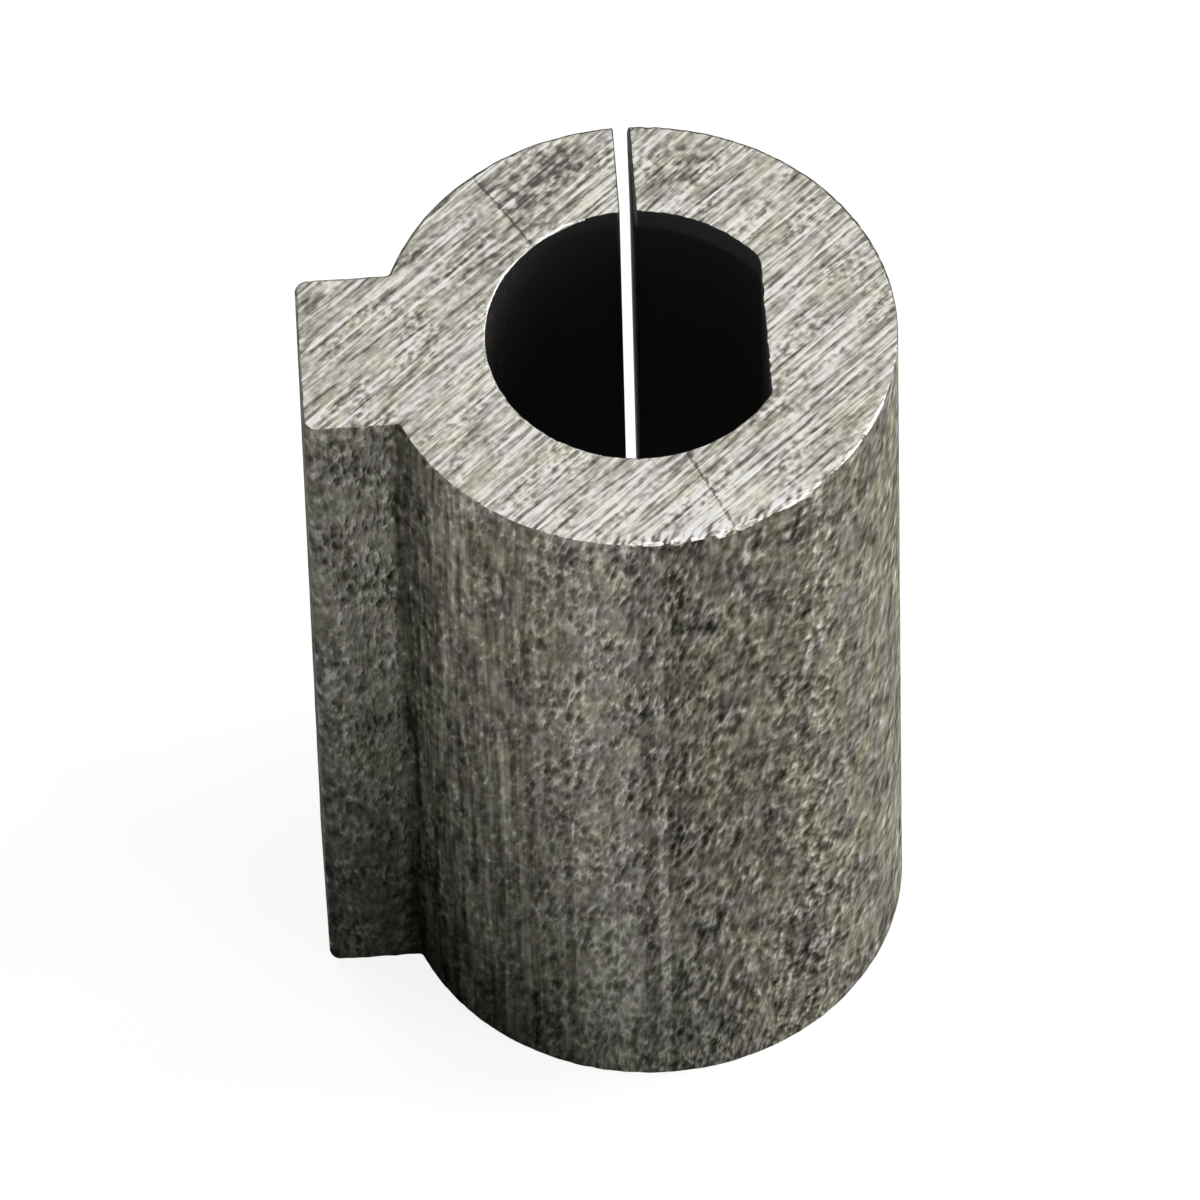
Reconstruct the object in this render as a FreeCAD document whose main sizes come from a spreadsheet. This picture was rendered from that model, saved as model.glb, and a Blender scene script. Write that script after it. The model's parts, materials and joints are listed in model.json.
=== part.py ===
import FreeCAD
import Part
import Sketcher
import os

# A split shaft adapter sleeve, one piece of drawn steel bar that has its key on it.
# It makes an 8 mm D shaft up to a 14 mm keyed hub, and its slit lets the hub's
# clamping close the bore on the shaft.
# Z is the bore axis and the lower end face lies at Z = 0. The key stands out
# towards -X, the flat of the bore is at +X and the slit opens at +Y.
# Lengths are in millimetres.

NODE = "adapter_sleeve"
PARTS_FOLDER = "parts"
TOLERANCE = 1e-4

# A sketch's numbers for the two ends of a line or arc, for its centre, and for the origin.
START = 1
END = 2
CENTRE = 3
ORIGIN = (-1, START)

SIZES = (
    ("barrel_diameter", 14.0, "outside of the round wall"),
    ("sleeve_length", 25.0, "from end face to end face"),
    ("bore_diameter", 8.2, "round part of the bore"),
    ("bore_flat_depth", 0.65, "how far the bore's flat stands in from its round wall"),
    ("key_width", 5.0, "across the key's two flanks"),
    ("key_height", 2.1, "from the barrel's crown to the key's crown"),
    ("key_corner_radius", 0.35, "long outer corners of the key"),
    ("key_root_radius", 0.15, "where the key's flanks run into the barrel"),
    ("slit_width", 0.4, "saw cut through one wall, end to end"),
    ("edge_break", 0.1, "chamfer round both end faces"),
)


def make_sheet(doc):
    """The driving dimensions, one row each: name, value, what it measures."""
    sheet = doc.addObject("Spreadsheet::Sheet", "sizes")
    for row, (alias, value, meaning) in enumerate(SIZES, start=1):
        sheet.set(f"A{row}", alias)
        sheet.set(f"B{row}", str(value))
        sheet.set(f"C{row}", meaning)
        sheet.setAlias(f"B{row}", alias)
    doc.recompute()
    return sheet


def make_body(doc, label):
    body = doc.addObject("PartDesign::Body", label)
    body.Label = label
    return body


def end_plane_sketch(body, name):
    """A sketch on the plane of the lower end face."""
    planes = [o for o in body.Origin.OriginFeatures if o.Role == "XY_Plane"]
    sketch = body.newObject("Sketcher::SketchObject", name)
    sketch.AttachmentSupport = [(planes[0], "")]
    sketch.MapMode = "FlatFace"
    return sketch


def bind(sketch, constraint, name, expression):
    """Adds a dimension, names it and ties it to the sheet."""
    index = sketch.addConstraint(constraint)
    sketch.renameConstraint(index, name)
    sketch.setExpression(f"Constraints.{name}", expression)


def centre_on_axis(sketch, arc):
    sketch.addConstraint(Sketcher.Constraint("Coincident", arc, CENTRE, *ORIGIN))


def add_rectangle(sketch, low_x, low_y, high_x, high_y):
    """Four lines, anticlockwise from the lower left corner: lower, right, upper, left."""
    corners = [
        FreeCAD.Vector(low_x, low_y, 0),
        FreeCAD.Vector(high_x, low_y, 0),
        FreeCAD.Vector(high_x, high_y, 0),
        FreeCAD.Vector(low_x, high_y, 0),
    ]
    lines = []
    for corner, following in zip(corners, corners[1:] + corners[:1]):
        lines.append(sketch.addGeometry(Part.LineSegment(corner, following), False))
    for line, following in zip(lines, lines[1:] + lines[:1]):
        sketch.addConstraint(Sketcher.Constraint("Coincident", line, END, following, START))
    for line, way in zip(lines, ("Horizontal", "Vertical", "Horizontal", "Vertical")):
        sketch.addConstraint(Sketcher.Constraint(way, line))
    return lines


def pad_full_length(body, sketch, name):
    pad = body.newObject("PartDesign::Pad", name)
    pad.Profile = sketch
    pad.setExpression("Length", "sizes.sleeve_length")
    body.Document.recompute()


def cut_full_length(body, sketch, name):
    """Cuts the sketch up through the whole sleeve and makes sure that it removed metal."""
    before = body.Shape.Volume
    pocket = body.newObject("PartDesign::Pocket", name)
    pocket.Profile = sketch
    pocket.Reversed = True
    pocket.setExpression("Length", "sizes.sleeve_length")
    body.Document.recompute()
    if body.Shape.Volume > before - TOLERANCE:
        raise RuntimeError(f"{name} cut nothing")


def add_barrel(body, sizes):
    sketch = end_plane_sketch(body, "barrel_section")
    circle = Part.Circle(FreeCAD.Vector(), FreeCAD.Vector(0, 0, 1), sizes.barrel_diameter / 2)
    ring = sketch.addGeometry(circle, False)
    centre_on_axis(sketch, ring)
    diameter = Sketcher.Constraint("Diameter", ring, sizes.barrel_diameter)
    bind(sketch, diameter, "barrel", "sizes.barrel_diameter")
    pad_full_length(body, sketch, "barrel")


def add_key(body, sizes):
    """A bar from the axis out past the barrel, which the bore then cuts back to the wall."""
    crown = sizes.barrel_diameter / 2 + sizes.key_height
    half = sizes.key_width / 2
    sketch = end_plane_sketch(body, "key_section")
    lower, inner, upper, outer = add_rectangle(sketch, -crown, -half, 0.0, half)
    sketch.addConstraint(Sketcher.Constraint("Symmetric", inner, START, inner, END, *ORIGIN))
    width = Sketcher.Constraint("DistanceY", inner, START, inner, END, sizes.key_width)
    bind(sketch, width, "key_width", "sizes.key_width")
    reach = Sketcher.Constraint("DistanceX", lower, START, lower, END, crown)
    bind(sketch, reach, "key_reach", "sizes.barrel_diameter / 2 + sizes.key_height")
    pad_full_length(body, sketch, "key")


def cut_bore(body, sizes):
    """The D bore: an arc closed by the flat."""
    radius = sizes.bore_diameter / 2
    flat_x = radius - sizes.bore_flat_depth
    half_chord = (radius**2 - flat_x**2) ** 0.5
    flat_foot = FreeCAD.Vector(flat_x, -half_chord, 0)
    flat_head = FreeCAD.Vector(flat_x, half_chord, 0)
    opposite = FreeCAD.Vector(-radius, 0, 0)
    sketch = end_plane_sketch(body, "bore_section")
    wall = sketch.addGeometry(Part.Arc(flat_head, opposite, flat_foot), False)
    flat = sketch.addGeometry(Part.LineSegment(flat_foot, flat_head), False)
    centre_on_axis(sketch, wall)
    sketch.addConstraint(Sketcher.Constraint("Coincident", wall, END, flat, START))
    sketch.addConstraint(Sketcher.Constraint("Coincident", flat, END, wall, START))
    sketch.addConstraint(Sketcher.Constraint("Vertical", flat))
    diameter = Sketcher.Constraint("Diameter", wall, sizes.bore_diameter)
    bind(sketch, diameter, "bore", "sizes.bore_diameter")
    flat_place = Sketcher.Constraint("DistanceX", *ORIGIN, flat, START, flat_x)
    bind(sketch, flat_place, "flat", "sizes.bore_diameter / 2 - sizes.bore_flat_depth")
    cut_full_length(body, sketch, "d_bore")


def cut_slit(body, sizes):
    """One straight saw cut from the bore out through the wall."""
    half = sizes.slit_width / 2
    run_out = sizes.barrel_diameter
    sketch = end_plane_sketch(body, "slit_section")
    lower, right, upper, left = add_rectangle(sketch, -half, 0.0, half, run_out)
    sketch.addConstraint(Sketcher.Constraint("Symmetric", lower, START, lower, END, *ORIGIN))
    width = Sketcher.Constraint("DistanceX", lower, START, lower, END, sizes.slit_width)
    bind(sketch, width, "slit_width", "sizes.slit_width")
    reach = Sketcher.Constraint("DistanceY", right, START, right, END, run_out)
    bind(sketch, reach, "slit_reach", "sizes.barrel_diameter")
    cut_full_length(body, sketch, "slit")


def upright_edges(shape, x, y):
    """Names of the edges that stand along Z at (x, y) or at its mirror (x, -y)."""
    names = []
    for number, edge in enumerate(shape.Edges, start=1):
        box = edge.BoundBox
        stands = box.XLength < TOLERANCE and box.YLength < TOLERANCE
        place = box.Center
        if stands and abs(place.x - x) < TOLERANCE and abs(abs(place.y) - y) < TOLERANCE:
            names.append(f"Edge{number}")
    return names


def round_key(body, sizes):
    """Rounds the key's outer corners and the roots where its flanks meet the barrel."""
    radius = sizes.barrel_diameter / 2
    half = sizes.key_width / 2
    root_x = -((radius**2 - half**2) ** 0.5)
    rounds = (
        ("key_corners", -(radius + sizes.key_height), "sizes.key_corner_radius"),
        ("key_roots", root_x, "sizes.key_root_radius"),
    )
    for name, x, expression in rounds:
        base = body.Tip
        fillet = body.newObject("PartDesign::Fillet", name)
        fillet.Base = (base, upright_edges(base.Shape, x, half))
        fillet.setExpression("Radius", expression)
        body.Document.recompute()


def break_ends(body, sizes):
    """A small chamfer round each end face, along the barrel, the key and the bore."""
    base = body.Tip
    names = []
    for number, edge in enumerate(base.Shape.Edges, start=1):
        box = edge.BoundBox
        on_lower = box.ZMax < TOLERANCE
        on_upper = box.ZMin > sizes.sleeve_length - TOLERANCE
        if on_lower or on_upper:
            names.append(f"Edge{number}")
    chamfer = body.newObject("PartDesign::Chamfer", "end_breaks")
    chamfer.Base = (base, names)
    chamfer.setExpression("Size", "sizes.edge_break")
    body.Document.recompute()


def make_adapter_sleeve(doc, sizes):
    body = make_body(doc, NODE)
    add_barrel(body, sizes)
    add_key(body, sizes)
    cut_bore(body, sizes)
    round_key(body, sizes)
    break_ends(body, sizes)
    cut_slit(body, sizes)
    return body


def check(doc, bodies):
    """Stops before anything is written if a feature failed or a shape is unsound."""
    failed = [o.Name for o in doc.Objects if {"Invalid", "Error"} & set(o.State)]
    if failed:
        raise RuntimeError(f"these features failed: {failed}")
    for body in bodies:
        if body.Shape.isNull() or not body.Shape.isValid() or len(body.Shape.Solids) != 1:
            raise RuntimeError(f"{body.Label} is not one sound solid")


def main():
    doc = FreeCAD.newDocument("shaft_adapter_sleeve")
    sizes = make_sheet(doc)
    sleeve = make_adapter_sleeve(doc, sizes)
    doc.recompute()
    check(doc, [sleeve])
    os.makedirs(PARTS_FOLDER, exist_ok=True)
    sleeve.Shape.exportStep(os.path.join(PARTS_FOLDER, f"{sleeve.Label}.step"))
    print(sleeve.Label, round(sleeve.Shape.Volume, 2), "mm3,", len(sleeve.Shape.Faces), "faces")


main()
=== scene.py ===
import json
import math

import bpy
import numpy as np
from mathutils import Matrix, Vector, noise
from mathutils.geometry import delaunay_2d_cdt


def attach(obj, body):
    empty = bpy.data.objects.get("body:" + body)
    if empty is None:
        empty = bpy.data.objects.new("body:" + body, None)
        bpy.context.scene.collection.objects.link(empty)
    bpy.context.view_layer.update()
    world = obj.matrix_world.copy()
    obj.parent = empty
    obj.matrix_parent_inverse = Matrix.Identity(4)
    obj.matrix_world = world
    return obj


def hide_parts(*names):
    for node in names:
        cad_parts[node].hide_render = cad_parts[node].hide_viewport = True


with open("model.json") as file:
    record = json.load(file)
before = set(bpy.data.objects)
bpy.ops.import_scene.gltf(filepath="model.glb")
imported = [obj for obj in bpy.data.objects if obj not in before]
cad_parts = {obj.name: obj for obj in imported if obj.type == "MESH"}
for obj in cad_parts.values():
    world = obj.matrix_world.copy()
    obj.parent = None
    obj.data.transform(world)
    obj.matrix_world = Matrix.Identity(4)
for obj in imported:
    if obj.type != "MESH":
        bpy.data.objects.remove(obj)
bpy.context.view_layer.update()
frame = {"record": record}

# The sleeve is remade as one dense closed mesh: drawn outside, sawn ends, and a bore and slit painted
# dark as shade.
# Lengths are in millimetres in the CAD frame until a mesh or a lamp is made.

MM = 0.001
NODE = "adapter_sleeve"

# Main sizes, read from the mounts of the part's record.
MOUNTS = {mount["name"]: mount for mount in frame["record"]["mounts"]}
BARREL_RADIUS = MOUNTS["keyed_outside"]["dims"]["r_mm"]
BORE_RADIUS = MOUNTS["d_bore"]["dims"]["r_mm"]
LENGTH = MOUNTS["d_bore"]["dims"]["length_mm"]
FLAT_X = MOUNTS["bore_flat"]["pos_m"][0] / MM
CROWN_X = MOUNTS["key_crown"]["pos_m"][0] / MM
KEY_HALF = MOUNTS["key_flank_left"]["pos_m"][1] / MM

# Small shapes that the mounts don't give.
SLIT_HALF = 0.2
KEY_CORNER = 0.35
KEY_ROOT = 0.15
SLIT_LIP = 0.08
FLAT_CORNER = 0.3

# The saw marks of both end faces run this way, from +X towards +Y.
SAW_ANGLE = math.radians(42)
SAW_ALONG = Vector((math.cos(SAW_ANGLE), math.sin(SAW_ANGLE), 0))
SAW_ACROSS = Vector((-math.sin(SAW_ANGLE), math.cos(SAW_ANGLE), 0))


# Outline of the section

class Run:
    """One stretch of the section's outline, as points with their normals out of the metal."""

    def __init__(self, kind, points, normals):
        self.kind = kind
        self.points = points
        self.normals = normals


COARSE_STEP = {"outside": 0.2, "bore": 0.4, "slit": 0.4}
FINE_PER_COARSE = 4


def fine_count(kind, length):
    return FINE_PER_COARSE * max(1, round(length / COARSE_STEP[kind]))


def arc(kind, centre, radius, start, end, hollow=False):
    """Points from one angle to another, without the last; hollow where the metal lies outside it."""
    angles = np.linspace(start, end, fine_count(kind, radius * abs(end - start)), endpoint=False)
    way = np.column_stack((np.cos(angles), np.sin(angles)))
    return Run(kind, np.array(centre) + radius * way, -way if hollow else way)


def line(kind, start, end):
    """Points along a straight stretch, without the last; the metal is on its left."""
    start, end = np.array(start), np.array(end)
    length = np.linalg.norm(end - start)
    parts = np.linspace(0, 1, fine_count(kind, length), endpoint=False)[:, None]
    way = (end - start) / length
    normal = np.array((way[1], -way[0]))
    return Run(kind, start + parts * (end - start), np.tile(normal, (len(parts), 1)))


def section_outline():
    """The closed outline, with the metal on its left, from the slit round the outside and back."""
    turn = math.pi / 2
    lip_x = SLIT_HALF + SLIT_LIP
    outer_lip_y = math.sqrt((BARREL_RADIUS - SLIT_LIP) ** 2 - lip_x ** 2)
    inner_lip_y = math.sqrt((BORE_RADIUS + SLIT_LIP) ** 2 - lip_x ** 2)
    outer_lip = math.atan2(outer_lip_y, lip_x)
    inner_lip = math.atan2(inner_lip_y, lip_x)

    root_y = KEY_HALF + KEY_ROOT
    root_x = -math.sqrt((BARREL_RADIUS + KEY_ROOT) ** 2 - root_y ** 2)
    root = math.atan2(root_y, -root_x)
    corner_x = CROWN_X + KEY_CORNER
    corner_y = KEY_HALF - KEY_CORNER

    foot_x = FLAT_X - FLAT_CORNER
    foot_y = math.sqrt((BORE_RADIUS - FLAT_CORNER) ** 2 - foot_x ** 2)
    foot = math.atan2(foot_y, foot_x)

    return [
        arc("outside", (0, 0), BARREL_RADIUS, math.pi - outer_lip, math.pi - root),
        arc("outside", (root_x, root_y), KEY_ROOT, -root, -turn, hollow=True),
        line("outside", (root_x, KEY_HALF), (corner_x, KEY_HALF)),
        arc("outside", (corner_x, corner_y), KEY_CORNER, turn, 2 * turn),
        line("outside", (CROWN_X, corner_y), (CROWN_X, -corner_y)),
        arc("outside", (corner_x, -corner_y), KEY_CORNER, 2 * turn, 3 * turn),
        line("outside", (corner_x, -KEY_HALF), (root_x, -KEY_HALF)),
        arc("outside", (root_x, -root_y), KEY_ROOT, turn, root, hollow=True),
        arc("outside", (0, 0), BARREL_RADIUS, math.pi + root, 4 * turn + outer_lip),
        arc("slit", (lip_x, outer_lip_y), SLIT_LIP, outer_lip, 2 * turn),
        line("slit", (SLIT_HALF, outer_lip_y), (SLIT_HALF, inner_lip_y)),
        arc("slit", (lip_x, inner_lip_y), SLIT_LIP, 2 * turn, math.pi + inner_lip),
        arc("bore", (0, 0), BORE_RADIUS, inner_lip, foot, hollow=True),
        arc("bore", (foot_x, foot_y), FLAT_CORNER, foot, 0, hollow=True),
        line("bore", (FLAT_X, foot_y), (FLAT_X, -foot_y)),
        arc("bore", (foot_x, -foot_y), FLAT_CORNER, 0, -foot, hollow=True),
        arc("bore", (0, 0), BORE_RADIUS, -foot, -math.pi - inner_lip, hollow=True),
        arc("slit", (-lip_x, inner_lip_y), SLIT_LIP, -inner_lip, 0),
        line("slit", (-SLIT_HALF, inner_lip_y), (-SLIT_HALF, outer_lip_y)),
        arc("slit", (-lip_x, outer_lip_y), SLIT_LIP, 0, math.pi - outer_lip),
    ]


# Small relief of the surfaces

def ripple(place, size, seed):
    """Smooth noise between about -1 and 1, with cells as long as size in each direction."""
    x, y, z = (p / s for p, s in zip(place, size))
    return noise.noise((x + seed, y - seed, z + 0.37 * seed), noise_basis="PERLIN_ORIGINAL")


def saw_relief(x, y, top):
    """How deep the saw marks are at a place of an end face."""
    place = Vector((x, y, 0))
    along, across = place.dot(SAW_ALONG), place.dot(SAW_ACROSS)
    seed = 3.1 if top else 17.9
    broad = ripple((along, across, 0), (5.0, 0.45, 1), seed)
    middle = ripple((along, across, 0), (2.2, 0.2, 1), seed + 5)
    fine = ripple((along, across, 0), (0.9, 0.11, 1), seed + 9)
    return 0.012 * (0.45 + 0.5 * broad) + 0.009 * (0.5 + middle) + 0.006 * (0.5 + fine)


def fade(value, start, end):
    """Runs smoothly from 0 at start to 1 at end."""
    part = min(max((value - start) / (end - start), 0), 1)
    return part * part * (3 - 2 * part)


def burr(x, y, top):
    """1 where the saw left the upper end and raised a burr, 0 where the edge stayed clean."""
    angle = math.degrees(math.atan2(x, -y))
    right = 1 - 0.45 * fade(angle, 30, 48) - 0.55 * fade(angle, 62, 80)
    return fade(angle, -16, 6) * right if top else 0.0


def teeth(x, y, top):
    """Small tears along an edge, in line with the saw marks."""
    across = Vector((x, y, 0)).dot(SAW_ACROSS)
    seed = 31 if top else 47
    in_line = ripple((across, x, y), (0.17, 0.9, 0.9), seed)
    crumbled = ripple((x, y, 0), (0.3, 0.3, 1), seed)
    return in_line + 0.7 * crumbled


NARROWEST_RIM = 0.025
WIDEST_RIM = 0.18


def rim_width(kind, x, y, top):
    """How far the break of an end edge reaches in from the wall; the saw left it ragged."""
    torn = teeth(x, y, top)
    if kind == "slit":
        return (0.07 if x > 0 else 0.03) + 0.01 * torn
    if kind == "bore":
        return 0.06 + 0.05 * torn
    rough = burr(x, y, top)
    behind = fade(y, 0, 4)
    width = 0.055 + 0.055 * rough + 0.03 * behind + (0.03 + 0.08 * rough) * torn
    return min(max(width, NARROWEST_RIM), WIDEST_RIM)


def wall_relief(kind, x, y, z):
    """How far a wall stands out from its true surface; the slit's right side leans in at the top."""
    if kind == "slit" and x > 0:
        depth = fade(y, BORE_RADIUS, BARREL_RADIUS)
        return 0.025 * depth * fade(z, LENGTH - 4, LENGTH)
    if kind != "outside":
        return 0.0
    lines = ripple((x, y, z), (0.5, 0.5, 9), 61)
    dents = ripple((x, y, z), (1.4, 1.4, 2.2), 67)
    pits = ripple((x, y, z), (0.5, 0.5, 0.9), 71)
    return 0.002 * lines + 0.004 * dents + 0.004 * pits


# Mesh

# Rows round each rim, then fine rows at these distances from the end, then coarse rows between.
RIM_STEPS = 4
FINE_ROWS = (0.2, 0.3, 0.42)
FIRST_COARSE_ROW = 0.6
COARSE_ROWS = 84
# Spacing of the points inside an end face, and how far they keep from its edges.
CAP_STEP_ACROSS = 0.05
CAP_STEP_ALONG = 0.3
CAP_MARGIN = 0.19

SAWN, EDGE, DRAWN, BORE, SLIT = range(5)
KIND_SLOT = {"outside": DRAWN, "bore": BORE, "slit": SLIT}


def metal_depth(x, y):
    """About how far a point of the section lies inside the metal."""
    radius = np.hypot(x, y)
    from_crown = x - CROWN_X
    from_flank = KEY_HALF - np.abs(y)
    into_corner_x = np.maximum(KEY_CORNER - from_crown, 0)
    into_corner_y = np.maximum(KEY_CORNER - from_flank, 0)
    past_corner = np.hypot(into_corner_x, into_corner_y)
    deeper = np.maximum(np.minimum(from_crown, from_flank) - KEY_CORNER, 0)
    in_key = KEY_CORNER - past_corner + deeper
    in_key = np.minimum(in_key, -x)
    in_barrel = BARREL_RADIUS - radius
    in_bore = np.minimum(BORE_RADIUS - radius, FLAT_X - x)
    in_slit = np.minimum(SLIT_HALF - np.abs(x), y)
    return np.minimum(np.maximum(in_key, in_barrel), -np.maximum(in_bore, in_slit))


def cap_lattice():
    """Points inside the end face, close together across the saw marks and far apart along them."""
    reach = -CROWN_X + 1
    along = np.arange(-reach, reach, CAP_STEP_ALONG)
    across = np.arange(-reach, reach, CAP_STEP_ACROSS)
    u, v = np.meshgrid(along, across)
    u = u + 0.5 * CAP_STEP_ALONG * (np.arange(len(across)) % 2)[:, None]
    x = u * SAW_ALONG.x + v * SAW_ACROSS.x
    y = u * SAW_ALONG.y + v * SAW_ACROSS.y
    inside = metal_depth(x, y) > CAP_MARGIN
    return np.column_stack((x[inside], y[inside]))


def cap_triangles(loop, lattice):
    """Triangles of the end face: loop points first, then lattice points, by their numbers."""
    squeeze = CAP_STEP_ACROSS / CAP_STEP_ALONG
    points = np.vstack((loop, lattice))
    u = points @ np.array(SAW_ALONG.xy) * squeeze
    v = points @ np.array(SAW_ACROSS.xy)
    flat = [Vector(pair) for pair in zip(u, v)]
    count = len(loop)
    edges = [(k, (k + 1) % count) for k in range(count)]
    made = delaunay_2d_cdt(flat, edges, [], 1, 1e-7)
    if len(made[0]) != len(points):
        raise RuntimeError("the end face gained or lost points")
    source = [origins[0] for origins in made[3]]
    return [tuple(source[k] for k in face) for face in made[2]]


def rim_slot(kind, point, step, top):
    """Sawn or bright metal for the first rows of a rim, to a ragged line, and then the wall's skin.

    The bore's rim is bright on the key's side, partly a burnished edge and partly a painted highlight
    where light catches it, and the outside's where the burr stands up. Behind, the outside rim mostly
    shows the dark wall skin from its first row, a painted shade on the edge that faces away from the
    light.
    """
    if kind == "slit":
        return SLIT
    x, y = point
    rough = burr(x, y, top)
    torn = teeth(x, y, top)
    if kind == "bore":
        # Partly a burnished edge, partly a painted highlight where light catches the rim.
        bright = x < -1.2
        rows = 3.2 if bright else 0.5
    else:
        bright = rough > 0.4 and torn > -0.2
        # Fewer sawn rows behind: the back rim shows the dark wall skin, a painted shade on the edge that
        # faces away from the light.
        rows = 1.0 + 2.0 * rough - 1.5 * fade(y, -1, 3)
    if step >= rows + (0.4 + 2.0 * rough) * torn:
        return KIND_SLOT[kind]
    return EDGE if bright else SAWN


def build_sleeve():
    """One closed mesh: both ends with their rims and fine rows, and coarse rows between them."""
    runs = section_outline()
    points = np.vstack([run.points for run in runs])
    normals = np.vstack([run.normals for run in runs])
    kinds = [run.kind for run in runs for _ in run.points]
    count = len(points)
    coarse = range(0, count, FINE_PER_COARSE)

    vertices, faces, slots = [], [], []

    def add_row(numbers, inset, z, drop):
        """A row of vertices round the outline; inset and drop are per point."""
        first = len(vertices)
        for k in numbers:
            x, y = points[k] - normals[k] * inset[k]
            vertices.append((x, y, z - drop[k]))
        return range(first, len(vertices))

    def join(lower, upper, slot_of):
        """Quads between two rows with the same number of points."""
        size = len(lower)
        for k in range(size):
            following = (k + 1) % size
            faces.append((lower[k], lower[following], upper[following], upper[k]))
            slots.append(slot_of(k))

    def join_fine(fine, few, fine_is_lower):
        """Triangles between a fine row and the coarse row next to it."""
        size = len(few)
        for k in range(size):
            block = [fine[(FINE_PER_COARSE * k + j) % count] for j in range(FINE_PER_COARSE + 1)]
            left, right = few[k], few[(k + 1) % size]
            half = FINE_PER_COARSE // 2
            fan = [(left, block[j], block[j + 1]) for j in range(half)]
            fan += [(right, block[j], block[j + 1]) for j in range(half, FINE_PER_COARSE)]
            fan.append((left, block[half], right))
            for face in fan:
                faces.append(face if fine_is_lower else face[::-1])
                slots.append(KIND_SLOT[kinds[FINE_PER_COARSE * k]])

    def wall_row(numbers, z):
        inset = {k: -wall_relief(kinds[k], *points[k], z) for k in numbers}
        return add_row(numbers, inset, z, dict.fromkeys(numbers, 0.0))

    def end_rows(top):
        """The rows of one end from its face out to the last fine row, and the face itself."""
        widths = np.array([rim_width(kinds[k], *points[k], top) for k in range(count)])
        sign, end = (1, LENGTH) if top else (-1, 0.0)
        rows = []
        for step in range(RIM_STEPS + 1):
            angle = math.pi / 2 * step / RIM_STEPS
            inset = widths * (1 - math.sin(angle))
            place = points - normals * inset[:, None]
            marks = np.array([saw_relief(x, y, top) for x, y in place]) * math.cos(angle)
            drop = widths * (1 - math.cos(angle)) + marks
            rows.append(add_row(range(count), inset, end, sign * drop))
        rim = points - normals * widths[:, None]
        lattice = cap_lattice()
        first = len(vertices)
        for x, y in lattice:
            vertices.append((x, y, end - sign * saw_relief(x, y, top)))
        numbers = list(rows[0]) + list(range(first, len(vertices)))
        for face in cap_triangles(rim, lattice):
            real = [numbers[k] for k in face]
            faces.append(real if top else real[::-1])
            slots.append(SAWN)
        for height in FINE_ROWS:
            rows.append(wall_row(range(count), end - sign * height))
        for number, (inner, outer) in enumerate(zip(rows, rows[1:])):
            lower, upper = (outer, inner) if top else (inner, outer)
            join(lower, upper, lambda k: rim_slot(kinds[k], points[k], number, top))
        return rows[-1]

    bottom = end_rows(False)
    top = end_rows(True)
    heights = np.linspace(FIRST_COARSE_ROW, LENGTH - FIRST_COARSE_ROW, COARSE_ROWS)
    middle = [wall_row(coarse, z) for z in heights]
    join_fine(bottom, middle[0], True)
    for lower, upper in zip(middle, middle[1:]):
        join(lower, upper, lambda k: KIND_SLOT[kinds[FINE_PER_COARSE * k]])
    join_fine(top, middle[-1], False)

    mesh = bpy.data.meshes.new("sleeve")
    mesh.from_pydata([Vector(v) * MM for v in vertices], [], faces)
    mesh.polygons.foreach_set("material_index", slots)
    mesh.polygons.foreach_set("use_smooth", [True] * len(faces))
    mesh.update()
    mesh.validate()
    return mesh


# Materials

def add(tree, kind, inputs=None, **settings):
    """A node with its settings; an input is a value or another node's output."""
    made = tree.nodes.new(kind)
    for name, value in settings.items():
        setattr(made, name, value)
    for name, value in (inputs or {}).items():
        if isinstance(value, bpy.types.NodeSocket):
            tree.links.new(value, made.inputs[name])
        else:
            made.inputs[name].default_value = value
    return made


def maths(tree, operation, *values, clamp=False):
    """One step of arithmetic; MULTIPLY_ADD is the first times the second, plus the third."""
    inputs = dict(enumerate(values))
    return add(tree, "ShaderNodeMath", inputs, operation=operation, use_clamp=clamp).outputs[0]


def grain(tree, place, stretch, turn, detail, rough, seed):
    """Noise of about 0 to 1; stretch is the cells' size in mm along each turned axis."""
    turned = add(
        tree, "ShaderNodeMapping", {"Vector": place, "Rotation": (0, 0, -turn)}, vector_type="POINT"
    ).outputs[0]
    scale = tuple(1 / (size * MM) for size in stretch)
    sized = add(
        tree, "ShaderNodeMapping", {"Vector": turned, "Location": (seed, -seed, seed), "Scale": scale}
    ).outputs[0]
    made = add(
        tree,
        "ShaderNodeTexNoise",
        {"Vector": sized, "Scale": 1.0, "Detail": detail, "Roughness": rough},
        noise_dimensions="3D",
    )
    return made.outputs["Fac"]


def weighted(tree, *pairs):
    """Sum of weight times (noise - 0.5), round zero."""
    total = None
    for weight, value in pairs:
        centred = maths(tree, "SUBTRACT", value, 0.5)
        part = maths(tree, "MULTIPLY", centred, weight)
        total = part if total is None else maths(tree, "ADD", total, part)
    return total


def ramp(tree, value, *stops):
    """Colours along a value from 0 to 1; a stop is (place, (r, g, b))."""
    made = add(tree, "ShaderNodeValToRGB", {"Fac": value})
    elements = made.color_ramp.elements
    while len(elements) < len(stops):
        elements.new(0.5)
    for element, (place, colour) in zip(elements, stops):
        element.position = place
        element.color = (*colour, 1)
    return made.outputs["Color"]


def tinted(tree, colour, hue):
    """A colour times a hue that lies near white."""
    inputs = {0: 1.0, 6: colour, 7: hue}
    return add(tree, "ShaderNodeMix", inputs, data_type="RGBA", blend_type="MULTIPLY").outputs[2]


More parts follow.
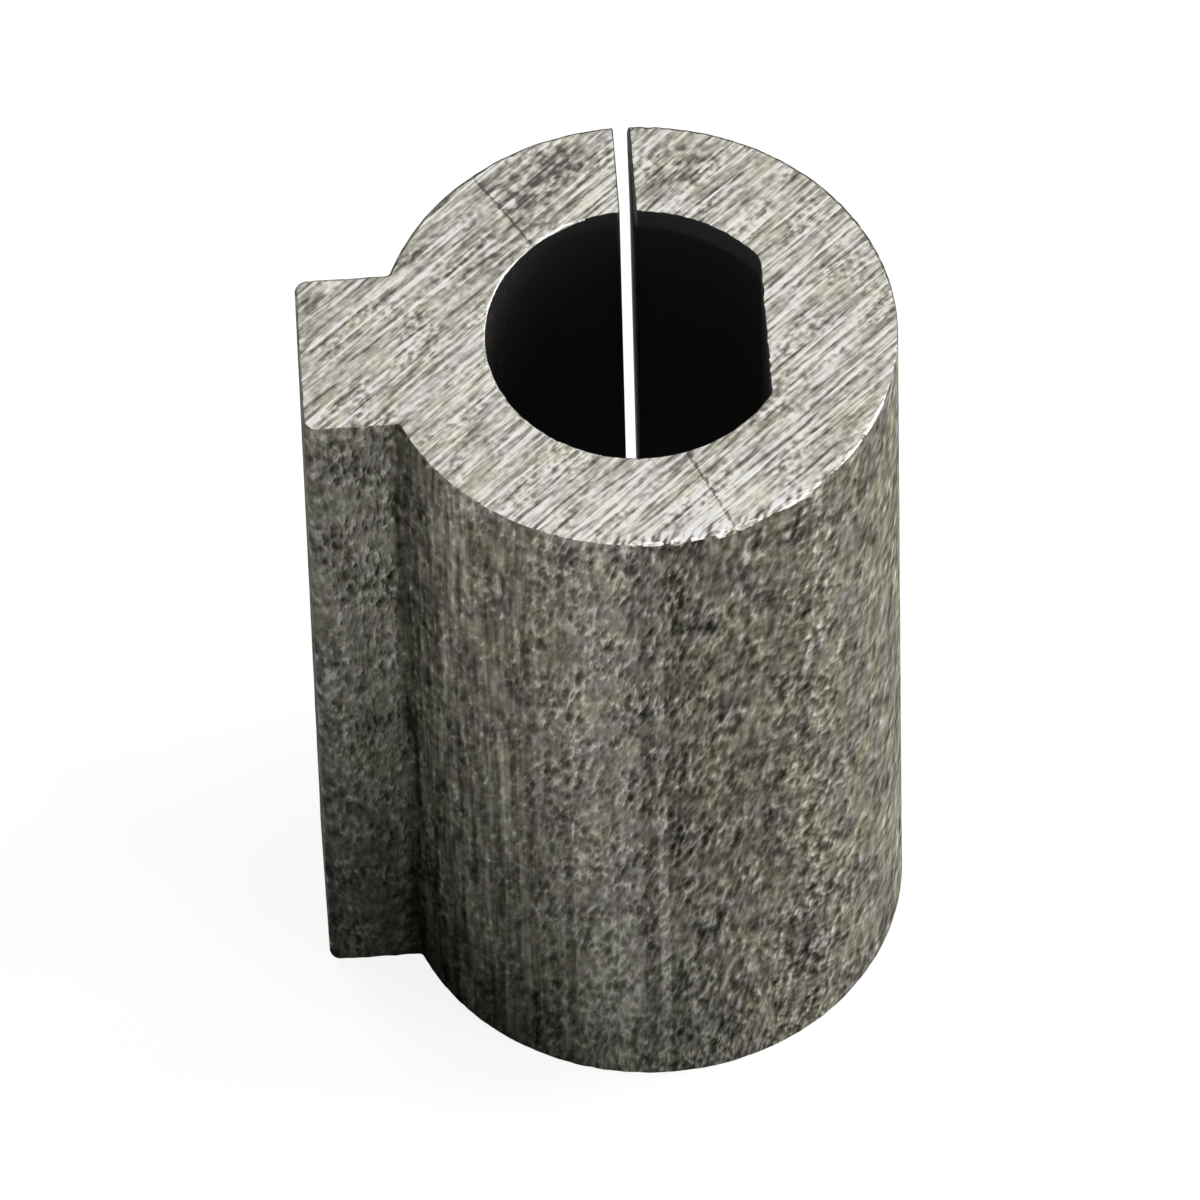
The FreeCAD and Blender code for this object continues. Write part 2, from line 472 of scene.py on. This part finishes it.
def new_material(name):
    """A material with its node tree, the place on the object, and an empty shader on its output."""
    material = bpy.data.materials.new(name)
    material.use_nodes = True
    tree = material.node_tree
    tree.nodes.clear()
    place = add(tree, "ShaderNodeTexCoord").outputs["Object"]
    shader = add(tree, "ShaderNodeBsdfPrincipled")
    output = add(tree, "ShaderNodeOutputMaterial")
    tree.links.new(shader.outputs[0], output.inputs["Surface"])
    return material, tree, place, shader


def connect(tree, shader, **sockets):
    """Links outputs to the shader's sockets, whose names have _ for each space."""
    for name, value in sockets.items():
        tree.links.new(value, shader.inputs[name.replace("_", " ")])


def bump(tree, height, strength, depth):
    """Normals from a height of about 0 to 1, whose full range is depth millimetres."""
    inputs = {"Height": height, "Strength": strength, "Distance": depth * MM}
    return add(tree, "ShaderNodeBump", inputs).outputs[0]


def past(tree, value, start, end):
    """Runs smoothly from 0 at start to 1 at end, which may be the lower of the two."""
    inputs = {"Value": value, "From Min": start, "From Max": end}
    return add(tree, "ShaderNodeMapRange", inputs, interpolation_type="SMOOTHSTEP").outputs[0]


def band(tree, value, low, high, soft):
    """1 where the value is between low and high, fading to 0 over soft on each side."""
    rise = past(tree, value, low - soft, low)
    fall = past(tree, value, high, high + soft)
    return maths(tree, "MULTIPLY", rise, maths(tree, "SUBTRACT", 1.0, fall))


def scaled_between(tree, fac, low, high):
    """Runs from low to high as fac runs from 0 to 1."""
    return maths(tree, "MULTIPLY_ADD", fac, high - low, low)


def vector_maths(tree, operation, *values, output="Vector"):
    """One step on vectors; output is Value where the result is a plain number."""
    return add(tree, "ShaderNodeVectorMath", dict(enumerate(values)), operation=operation).outputs[output]


def distance_from(tree, place, x, y):
    """How far a place is from an upright line through (x, y), in mm."""
    flat = vector_maths(tree, "MULTIPLY", place, (1 / MM, 1 / MM, 0))
    return vector_maths(tree, "DISTANCE", flat, (x, y, 0), output="Value")


# The end faces, in millimetres

# Dark stains on the upper end face: x and y of the middle, radius and strength.
STAINS = (
    (-2.8, 4.9, 1.6, 0.52),
    (-1.6, 5.8, 1.3, 0.46),
    (1.6, 5.6, 1.5, 0.46),
    (-4.0, 3.0, 1.2, 0.38),
)
# A thin dark line across the upper end face, bent as a wide arc.
LINE_CENTRE = (-72.46, -37.11)
LINE_RADIUS = 80.63
LINE_HALF = 0.025
# Short tears along the front edge of the upper end face stand steeper than the saw marks.
TEAR_ANGLE = math.radians(68)
# From one saw mark to the next.
SAW_PITCH = 0.27


def saw_pitch(tree, place):
    """The saw teeth's even marks, 0 to 1 across them, which wander a little."""
    axis = tuple(SAW_ACROSS / (SAW_PITCH * MM))
    across = vector_maths(tree, "DOT_PRODUCT", place, axis, output="Value")
    wander = grain(tree, place, (3.0, 0.7, 1.0), SAW_ANGLE, 1, 0.5, 52.0)
    turns = maths(tree, "MULTIPLY_ADD", wander, 3.0, across)
    wave = maths(tree, "SINE", maths(tree, "MULTIPLY", turns, 2 * math.pi))
    return maths(tree, "MULTIPLY_ADD", wave, 0.5, 0.5)


def sawn_end_material():
    """Bare steel with saw marks, torn spots and a torn front edge, stains and one thin line."""
    material, tree, place, shader = new_material("sawn_end")

    # Noise along the saw marks
    long_marks = grain(tree, place, (3.5, 0.15, 1.0), SAW_ANGLE, 1, 0.6, 2.0)
    short_marks = grain(tree, place, (0.7, 0.14, 1.0), SAW_ANGLE, 2, 0.5, 7.0)
    chips = grain(tree, place, (0.22, 0.15, 1.0), SAW_ANGLE, 1, 0.4, 11.0)
    patches = grain(tree, place, (1.6, 0.9, 1.0), SAW_ANGLE, 2, 0.5, 15.0)
    scratches = grain(tree, place, (1.8, 0.12, 1.0), SAW_ANGLE, 0, 0.5, 19.0)
    long_scratches = grain(tree, place, (7.0, 0.12, 1.0), SAW_ANGLE, 0, 0.5, 33.0)
    grooves = grain(tree, place, (1.5, 0.12, 1.0), SAW_ANGLE, 0, 0.5, 24.0)
    mottle = grain(tree, place, (0.45, 0.3, 1.0), SAW_ANGLE, 1, 0.6, 61.0)
    tint = grain(tree, place, (1.4, 0.8, 1.0), SAW_ANGLE, 1, 0.5, 29.0)
    tears = grain(tree, place, (0.55, 0.14, 1.0), TEAR_ANGLE, 0, 0.5, 37.0)
    pitch = saw_pitch(tree, place)

    # Places on the upper end face, each from 0 to 1
    axes = add(tree, "ShaderNodeSeparateXYZ", {"Vector": place}).outputs
    upper = past(tree, axes[2], 12 * MM, 13 * MM)
    front = maths(tree, "MULTIPLY", past(tree, axes[1], -3.0 * MM, -6.0 * MM), upper)
    torn_part = band(tree, axes[0], -0.8 * MM, 3.2 * MM, 1.2 * MM)
    torn_front = maths(tree, "MULTIPLY", front, torn_part)
    at_edge = past(tree, distance_from(tree, place, 0, 0), 6.5, 6.8)
    front_edge = maths(tree, "MULTIPLY", at_edge, torn_front)
    stain = None
    for x, y, radius, strength in STAINS:
        gap = distance_from(tree, place, x, y)
        spot = maths(tree, "MULTIPLY", past(tree, gap, radius, 0.1 * radius), strength)
        stain = spot if stain is None else maths(tree, "MAXIMUM", stain, spot)
    stain = maths(tree, "MULTIPLY", stain, past(tree, mottle, 0.40, 0.62))
    stain = maths(tree, "MULTIPLY", stain, upper)
    off_line = maths(tree, "SUBTRACT", distance_from(tree, place, *LINE_CENTRE), LINE_RADIUS)
    off_line = maths(tree, "MULTIPLY_ADD", maths(tree, "SUBTRACT", chips, 0.5), 0.14, off_line)
    line_mark = maths(tree, "MULTIPLY", band(tree, off_line, -LINE_HALF, LINE_HALF, 0.035), upper)

    # How light the metal is, all of it together
    torn = past(tree, patches, 0.47, 0.62)
    marks = weighted(tree, (0.6, long_marks), (0.9, short_marks), (0.08, pitch))
    marks = maths(tree, "MULTIPLY", marks, scaled_between(tree, torn, 1.1, 0.6))
    specks = maths(tree, "MULTIPLY", weighted(tree, (1.0, chips)), scaled_between(tree, torn, 0.6, 1.6))
    tone = maths(tree, "ADD", marks, specks)
    tone = maths(tree, "MULTIPLY_ADD", past(tree, scratches, 0.58, 0.68), 0.28, tone)
    tone = maths(tree, "MULTIPLY_ADD", past(tree, long_scratches, 0.60, 0.70), 0.30, tone)
    tone = maths(tree, "MULTIPLY_ADD", past(tree, grooves, 0.58, 0.68), -0.30, tone)
    tone = maths(tree, "MULTIPLY_ADD", front, 0.08, tone)
    tone = maths(tree, "MULTIPLY_ADD", front_edge, weighted(tree, (2.6, tears)), tone)
    tone = maths(tree, "SUBTRACT", tone, stain)
    tone = maths(tree, "MULTIPLY_ADD", line_mark, -0.38, tone)
    level = maths(tree, "ADD", tone, 0.5, clamp=True)
    colour = ramp(
        tree,
        level,
        (0.0, (0.115, 0.11, 0.096)),
        (0.3, (0.34, 0.328, 0.283)),
        (0.52, (0.60, 0.582, 0.505)),
        (0.75, (0.88, 0.87, 0.80)),
        (1.0, (1.0, 0.99, 0.96)),
    )
    hue = ramp(tree, tint, (0.35, (1.005, 0.99, 1.04)), (0.65, (1.0, 1.0, 0.95)))
    colour = tinted(tree, colour, hue)
    roughness = scaled_between(tree, level, 0.75, 0.60)
    connect(tree, shader, Base_Color=colour, Roughness=roughness, Normal=bump(tree, level, 1.0, 0.02))
    shader.inputs["Metallic"].default_value = 0.3
    return material


def burnished_edge_material():
    """The bright ragged edge that the saw left on parts of the rims; on the bore's rim it is partly a
    painted highlight.
    """
    material, tree, place, shader = new_material("burnished_edge_highlight")
    marks = grain(tree, place, (0.3, 0.11, 0.2), SAW_ANGLE, 2, 0.6, 41.0)
    colour = ramp(
        tree,
        marks,
        (0.34, (0.24, 0.23, 0.20)),
        (0.50, (0.58, 0.57, 0.53)),
        (0.64, (0.92, 0.91, 0.88)),
    )
    connect(tree, shader, Base_Color=colour, Normal=bump(tree, marks, 1.0, 0.02))
    shader.inputs["Roughness"].default_value = 0.4
    shader.inputs["Metallic"].default_value = 0.7
    return material


# The outside walls

# How much coarser the grain is on both sides than in front and behind; 0 is even all round.
SIDE_STRETCH = 0.45
# The grain's long way, measured from the way round towards straight up.
GRAIN_LEAN = math.radians(77)
UPRIGHT = math.radians(90)
# Lines that the die left down the barrel, from its front left to its middle: angle and half width
# in degrees, and how much lighter each is, or darker where negative. The first is the paler ground
# of the next five.
DIE_LINES = (
    (-31.0, 10.0, 0.05),
    (-39.5, 0.7, -0.15),
    (-34.6, 0.7, -0.14),
    (-30.4, 0.8, -0.18),
    (-25.6, 0.7, -0.12),
    (-21.5, 0.8, -0.18),
    (-3.3, 0.8, -0.12),
    (0.1, 0.8, 0.20),
    (3.0, 1.4, -0.07),
)
DIE_LINE_SOFT = 0.6
# How light the walls are before the grain and the places below change it, from 0 to 1.
WALL_LEVEL = 0.545


def unrolled(tree, place):
    """Angle in degrees, 0 in front and 90 on the right; radius; height; and (round, up, radius)."""
    axes = add(tree, "ShaderNodeSeparateXYZ", {"Vector": place}).outputs
    turn = maths(tree, "ARCTAN2", axes[0], maths(tree, "MULTIPLY", axes[1], -1.0))
    flat = vector_maths(tree, "MULTIPLY", place, (1, 1, 0))
    radius = vector_maths(tree, "LENGTH", flat, output="Value")
    swing = maths(tree, "SINE", maths(tree, "MULTIPLY", turn, 2.0))
    steady = maths(tree, "MULTIPLY", turn, 1 - SIDE_STRETCH / 2)
    eased = maths(tree, "MULTIPLY_ADD", swing, SIDE_STRETCH / 4, steady)
    round_way = maths(tree, "MULTIPLY", eased, BARREL_RADIUS * MM)
    spread = add(tree, "ShaderNodeCombineXYZ", {0: round_way, 1: axes[2], 2: radius}).outputs[0]
    return maths(tree, "MULTIPLY", turn, 180 / math.pi), radius, axes[2], spread


def drawn_wall_material():
    """Drawn steel with a grey skin: leaning grain, flecks, die lines and strips, with painted shade along
    the key root and low on the left side.
    """
    material, tree, place, shader = new_material("drawn_wall")
    angle, radius, height, spread = unrolled(tree, place)

    # Places on the walls, each from 0 to 1
    on_key = past(tree, radius, 7.05 * MM, 7.4 * MM)
    off_key = maths(tree, "SUBTRACT", 1.0, on_key)
    streaky = maths(tree, "MULTIPLY", band(tree, angle, -75, -34, 10), off_key)
    # Painted shade: the left side darker below about 20 mm.
    painted_left_shade = maths(tree, "MULTIPLY", streaky, past(tree, height, 22.5 * MM, 19 * MM))
    light_strip = band(tree, angle, -20, -8, 6)
    dark_strip = band(tree, angle, 1, 34, 6)
    low_down = past(tree, height, 12 * MM, 3 * MM)
    foot = maths(tree, "MULTIPLY", band(tree, angle, -12, 26, 10), low_down)
    rough_side = band(tree, angle, 6, 34, 10)
    turned_away = band(tree, angle, 36, 72, 24)
    grazed = band(tree, angle, 52, 70, 12)
    # Painted shade along the key root, and a narrower painted shadow line in its corner.
    root = maths(tree, "MULTIPLY", band(tree, angle, -75, -61, 9), off_key)
    painted_crease_shade = maths(tree, "MULTIPLY", band(tree, angle, -73, -67.5, 1.5), off_key)

    # Noise of the skin
    long_grain = grain(tree, spread, (0.40, 0.155, 0.155), GRAIN_LEAN, 1, 0.45, 3.0)
    round_grain = grain(tree, spread, (0.30, 0.26, 0.26), GRAIN_LEAN, 1, 0.45, 51.0)
    rounder = maths(tree, "SUBTRACT", round_grain, long_grain)
    fine = maths(tree, "MULTIPLY_ADD", rounder, turned_away, long_grain)
    fleck = grain(tree, spread, (0.34, 0.14, 0.14), GRAIN_LEAN, 1, 0.4, 27.0)
    lumps = grain(tree, spread, (0.70, 0.28, 0.28), GRAIN_LEAN, 1, 0.5, 35.0)
    coarse = grain(tree, spread, (0.9, 0.6, 0.6), UPRIGHT, 2, 0.6, 9.0)
    calm = grain(tree, spread, (1.3, 1.0, 1.0), UPRIGHT, 1, 0.5, 45.0)
    lines = grain(tree, spread, (3.0, 0.18, 0.18), UPRIGHT, 2, 0.5, 14.0)
    tint = grain(tree, spread, (1.5, 0.9, 0.9), UPRIGHT, 1, 0.5, 21.0)

    # The skin's relief, which also shades it, and how light it is
    busy = scaled_between(tree, past(tree, calm, 0.35, 0.6), 0.6, 1.1)
    relief = maths(tree, "MULTIPLY", weighted(tree, (1.0, fine), (0.8, lumps)), busy)
    for place_mask, share in ((streaky, 0.6), (rough_side, 1.2), (grazed, 0.80), (on_key, 0.85)):
        relief = maths(tree, "MULTIPLY", relief, scaled_between(tree, place_mask, 1.0, share))
    streak_share = scaled_between(tree, streaky, 0.35, 1.1)
    streaks = maths(tree, "MULTIPLY", weighted(tree, (1.0, lines)), streak_share)
    tone = maths(tree, "MULTIPLY_ADD", relief, 1.2, streaks)
    fleck_share = scaled_between(tree, grazed, 0.32, 0.12)
    flecks = maths(tree, "MULTIPLY", past(tree, fleck, 0.52, 0.78), fleck_share)
    tone = maths(tree, "MULTIPLY_ADD", flecks, busy, tone)
    mottle = weighted(tree, (0.45, coarse), (0.35, tint))
    tone = maths(tree, "MULTIPLY_ADD", mottle, scaled_between(tree, on_key, 1.0, 0.6), tone)
    die_lines = 0.0
    for centre, half, lighter in DIE_LINES:
        mark = band(tree, angle, centre - half, centre + half, DIE_LINE_SOFT)
        die_lines = maths(tree, "MULTIPLY_ADD", mark, lighter, die_lines)
    fainter_above = scaled_between(tree, past(tree, height, 17 * MM, 13 * MM), 0.65, 1.0)
    shift = maths(tree, "MULTIPLY_ADD", die_lines, fainter_above, WALL_LEVEL)
    for place_mask, lighter in (
        (light_strip, 0.09),
        (dark_strip, -0.08),
        (foot, 0.12),
        # Painted shade, low on the left side.
        (painted_left_shade, -0.07),
        # Painted shade along the key root and in its corner.
        (root, -0.14),
        (painted_crease_shade, -0.14),
        (on_key, 0.08),
    ):
        shift = maths(tree, "MULTIPLY_ADD", place_mask, lighter, shift)
    level = maths(tree, "ADD", tone, shift, clamp=True)
    grey = ramp(
        tree,
        level,
        (0.0, (0.030, 0.0285, 0.022)),
        (0.3, (0.105, 0.101, 0.080)),
        (0.5, (0.200, 0.193, 0.154)),
        (0.75, (0.37, 0.36, 0.31)),
        (1.0, (0.68, 0.665, 0.60)),
    )
    hue = ramp(tree, tint, (0.40, (1.008, 0.987, 1.04)), (0.60, (1.0, 1.003, 0.91)))
    colour = tinted(tree, grey, hue)
    connect(tree, shader, Base_Color=colour, Normal=bump(tree, relief, 1.0, 0.30))
    shader.inputs["Roughness"].default_value = 0.65
    shader.inputs["Specular IOR Level"].default_value = 0.0
    return material


def bore_wall_material():
    """Almost black, a painted shade for the deep bore, with a few dark brown specks on the side across
    from the flat.
    """
    material, tree, place, shader = new_material("shaded_bore_wall")
    spots = grain(tree, place, (0.25, 0.25, 0.3), 0, 3, 0.7, 5.0)
    x = add(tree, "ShaderNodeSeparateXYZ", {"Vector": place}).outputs[0]
    key_side = past(tree, x, -2.5 * MM, -3.8 * MM)
    specks = maths(tree, "MULTIPLY", past(tree, spots, 0.54, 0.72), key_side)
    # The near black base is painted shade; only the brown specks are the bore's own colour.
    colour = ramp(tree, specks, (0.0, (0.002, 0.002, 0.002)), (1.0, (0.08, 0.042, 0.031)))
    connect(tree, shader, Base_Color=colour, Normal=bump(tree, spots, 0.6, 0.02))
    shader.inputs["Roughness"].default_value = 0.8
    shader.inputs["Specular IOR Level"].default_value = 0.3
    return material


def slit_wall_material():
    """Cut by the saw, and painted dark grey as shade inside the narrow slit."""
    material, tree, place, shader = new_material("shaded_slit_wall")
    marks = grain(tree, place, (1.0, 0.1, 0.8), 0, 2, 0.6, 8.0)
    # Painted shade: dark grey in place of bright sawn steel.
    colour = ramp(tree, marks, (0.3, (0.03, 0.03, 0.028)), (0.7, (0.09, 0.087, 0.08)))
    connect(tree, shader, Base_Color=colour, Normal=bump(tree, marks, 0.6, 0.02))
    shader.inputs["Roughness"].default_value = 0.6
    shader.inputs["Specular IOR Level"].default_value = 0.15
    return material


# Floor, backdrop and light

def sees_background(tree):
    """1 for camera, glossy and transmission rays, and 0 for all others."""
    path = add(tree, "ShaderNodeLightPath").outputs
    some = maths(tree, "ADD", path["Is Camera Ray"], path["Is Glossy Ray"])
    return maths(tree, "ADD", some, path["Is Transmission Ray"], clamp=True)


def make_floor():
    """White to the camera except for the object's shadow, and a dim grey to all other light."""
    half = 3.0
    mesh = bpy.data.meshes.new("floor")
    corners = [(-half, -half, 0), (half, -half, 0), (half, half, 0), (-half, half, 0)]
    mesh.from_pydata(corners, [], [(0, 1, 2, 3)])
    floor = bpy.data.objects.new("floor", mesh)
    bpy.context.scene.collection.objects.link(floor)
    material = bpy.data.materials.new("floor")
    material.use_nodes = True
    tree = material.node_tree
    tree.nodes.clear()
    glow = add(tree, "ShaderNodeEmission", {"Color": (1, 1, 1, 1), "Strength": 0.86}).outputs[0]
    pale = add(tree, "ShaderNodeBsdfDiffuse", {"Color": (0.35, 0.35, 0.35, 1)}).outputs[0]
    shown = add(tree, "ShaderNodeAddShader", {0: glow, 1: pale}).outputs[0]
    grey = add(tree, "ShaderNodeBsdfDiffuse", {"Color": (0.12, 0.12, 0.12, 1)}).outputs[0]
    either = add(tree, "ShaderNodeMixShader", {0: sees_background(tree), 1: grey, 2: shown}).outputs[0]
    add(tree, "ShaderNodeOutputMaterial", {"Surface": either})
    material.cycles.emission_sampling = "NONE"
    mesh.materials.append(material)


def make_world():
    """White as a background and in reflections, with little light of its own."""
    world = bpy.data.worlds.new("studio")
    bpy.context.scene.world = world
    world.use_nodes = True
    tree = world.node_tree
    tree.nodes.clear()
    ambient = 0.03
    shown = sees_background(tree)
    strength = maths(tree, "ADD", ambient, maths(tree, "MULTIPLY", shown, 1 - ambient))
    sky = add(tree, "ShaderNodeBackground", {"Color": (1, 1, 1, 1), "Strength": strength}).outputs[0]
    add(tree, "ShaderNodeOutputWorld", {"Surface": sky})
    world.cycles.sampling_method = "NONE"


def around(azimuth, elevation, distance):
    """A place round the sleeve's middle; azimuth 0 is in front and 90 is on the right."""
    turn, rise = math.radians(azimuth), math.radians(elevation)
    level = math.cos(rise)
    way = Vector((math.sin(turn) * level, -math.cos(turn) * level, math.sin(rise)))
    return Vector((0, 0, LENGTH / 2)) + way * distance


def place_lamp(light, place, aim):
    """Puts a lamp at a place and points it at aim, out of the camera's sight."""
    lamp = bpy.data.objects.new(light.name, light)
    lamp.location = Vector(place) * MM
    lamp.rotation_mode = "QUATERNION"
    lamp.rotation_quaternion = (Vector(place) - Vector(aim)).to_track_quat("Z", "Y")
    lamp.visible_camera = False
    bpy.context.scene.collection.objects.link(lamp)


def add_softbox(name, azimuth, elevation, distance, size, power):
    """A square soft lamp aimed at the sleeve's middle, in millimetres and watts."""
    light = bpy.data.lights.new(name, "AREA")
    light.shape = "SQUARE"
    light.size = size * MM
    light.energy = power
    place_lamp(light, around(azimuth, elevation, distance), (0, 0, LENGTH / 2))


def add_spot(name, azimuth, elevation, distance, aim, cone, radius, power):
    """A lamp whose beam fades out evenly from its middle to the edge of its cone, in degrees."""
    light = bpy.data.lights.new(name, "SPOT")
    light.spot_size = math.radians(cone)
    light.spot_blend = 1.0
    light.shadow_soft_size = radius * MM
    light.energy = power
    place_lamp(light, around(azimuth, elevation, distance), aim)


def light_studio():
    """A side lamp, a top lamp, a beam on the upper front that leaves the lower left dim, and fills."""
    add_softbox("side_lamp", 99, 9, 300, 150, 0.92)
    add_softbox("top_lamp", 0, 90, 300, 150, 0.19)
    add_softbox("right_fill", 60, 20, 300, 150, 0.25)
    add_softbox("back_fill", -150, 8, 300, 150, 0.42)
    add_spot("front_beam", -35, 8, 250, (8.2, -9.2, 22.2), 12.4, 4, 1.42)


# Camera

def make_camera():
    """The photograph's view: from the front, looking down into the bore, with a long lens."""
    aim = Vector((-1.202, 0.174, 12.620))
    distance = 538.47
    azimuth, elevation, roll = (math.radians(a) for a in (-2.4755, 54.372, -1.640))
    back = Vector((
        math.sin(azimuth) * math.cos(elevation),
        -math.cos(azimuth) * math.cos(elevation),
        math.sin(elevation),
    ))
    level = Vector((0, 0, 1)).cross(back).normalized()
    right = Matrix.Rotation(roll, 3, back) @ level
    up = back.cross(right)
    camera = bpy.data.cameras.new("camera")
    camera.lens = 590.33
    camera.sensor_width = 36
    camera.clip_start = 0.01
    camera.clip_end = 20
    view = bpy.data.objects.new("camera", camera)
    view.matrix_world = Matrix.Translation((aim + back * distance) * MM) @ Matrix(
        (right, up, back)
    ).transposed().to_4x4()
    bpy.context.scene.collection.objects.link(view)
    bpy.context.scene.camera = view


def main():
    make_camera()
    sleeve = bpy.data.objects.new("sleeve", build_sleeve())
    bpy.context.scene.collection.objects.link(sleeve)
    for material in (
        sawn_end_material(),
        burnished_edge_material(),
        drawn_wall_material(),
        bore_wall_material(),
        slit_wall_material(),
    ):
        sleeve.data.materials.append(material)
    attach(sleeve, "root")
    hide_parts(NODE)
    make_floor()
    make_world()
    light_studio()
    bpy.context.scene.view_settings.view_transform = "Standard"


main()
